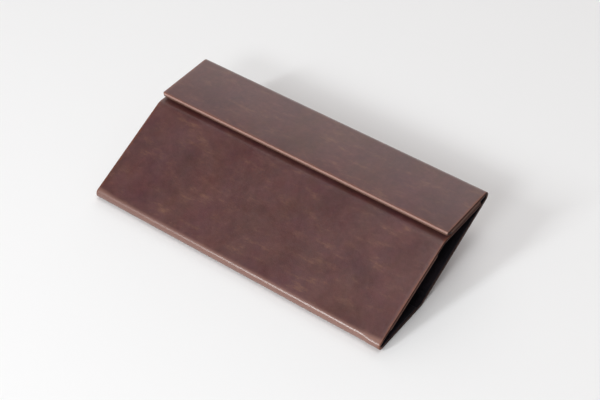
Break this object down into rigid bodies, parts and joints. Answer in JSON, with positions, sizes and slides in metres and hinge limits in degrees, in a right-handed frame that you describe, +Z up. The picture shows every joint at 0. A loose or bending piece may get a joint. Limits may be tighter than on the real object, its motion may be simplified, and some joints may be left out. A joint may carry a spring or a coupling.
{
  "type": "folding leather sleeve case",
  "caption": "Long leather sleeve case of parallelogram section that folds flat or opens into a box, closed by a magnetic flap over the ridge.",
  "frame": {"origin": "middle of the base panel's outer face, which it stands on", "axes": "+X along the case, +Y from the front fold towards the ridge, +Z up"},
  "size_m": [0.17, 0.0901, 0.0327],
  "materials": {
    "hide": "waxed pull-up leather, dark brown, raw edges burnished",
    "stiffener": "bonded leather board",
    "lining": "black suede-like microfibre",
    "magnet": "nickel-plated magnet",
    "keeper": "thin plated steel"
  },
  "bodies": {
    "base": {"base_leather": "hide", "base_board": "stiffener", "base_lining": "lining", "front_fold_leather": "hide", "front_fold_lining": "lining", "rear_fold_leather": "hide", "rear_fold_lining": "lining"},
    "front_panel": {"front_leather": "hide", "front_board": "stiffener", "front_lining": "lining", "crease_leather": "hide", "crease_lining": "lining"},
    "ledge": {"ledge_leather": "hide", "ledge_lining": "lining"},
    "lip": {"lip_leather": "hide", "lip_lining": "lining", "lip_keepers": "keeper"},
    "back_panel": {"back_leather": "hide", "back_board": "stiffener", "back_lining": "lining", "gutter_leather": "hide", "gutter_lining": "lining"},
    "ridge": {"ridge_strip_leather": "hide", "ridge_strip_lining": "lining", "ridge_fold_leather": "hide", "ridge_fold_lining": "lining"},
    "flap": {"flap_leather": "hide", "flap_board": "stiffener", "flap_lining": "hide", "flap_magnets": "magnet"}
  },
  "joints": [
    {"name": "back_fold", "type": "hinge", "parent": "base", "child": "back_panel", "pos_m": [0, 0.016, 0.0028], "axis": [1, 0, 0], "range_deg": [-18, 62], "deforming": ["rear_fold_leather", "rear_fold_lining"]},
    {"name": "front_fold", "type": "hinge", "parent": "base", "child": "front_panel", "pos_m": [0, -0.016, 0.0028], "axis": [1, 0, 0], "range_deg": [-18, 62], "deforming": ["front_fold_leather", "front_fold_lining"]},
    {"name": "crease_fold", "type": "hinge", "parent": "front_panel", "child": "ledge", "pos_m": [0, 0.03283, 0.02609], "axis": [1, 0, 0], "range_deg": [-62, 18], "deforming": ["crease_leather", "crease_lining"]},
    {"name": "gutter_fold", "type": "hinge", "parent": "back_panel", "child": "ridge", "pos_m": [0, 0.06483, 0.02609], "axis": [1, 0, 0], "range_deg": [-62, 18], "deforming": ["gutter_leather", "gutter_lining"]},
    {"name": "flap_open", "type": "hinge", "parent": "ridge", "child": "flap", "pos_m": [0, 0.06849, 0.02989], "axis": [-1, 0, 0], "range_deg": [0, 150], "deforming": ["ridge_fold_leather", "ridge_fold_lining"]},
    {"name": "lip_lift", "type": "hinge", "parent": "ledge", "child": "lip", "pos_m": [0, 0.03833, 0.02889], "axis": [1, 0, 0], "range_deg": [0, 18]}
  ],
  "couplings": [
    {"joint": "front_fold", "follows": "back_fold", "ratio": 1},
    {"joint": "crease_fold", "follows": "back_fold", "ratio": -1},
    {"joint": "gutter_fold", "follows": "back_fold", "ratio": -1},
    {"joint": "lip_lift", "follows": "flap_open", "ratio": 0.12}
  ]
}
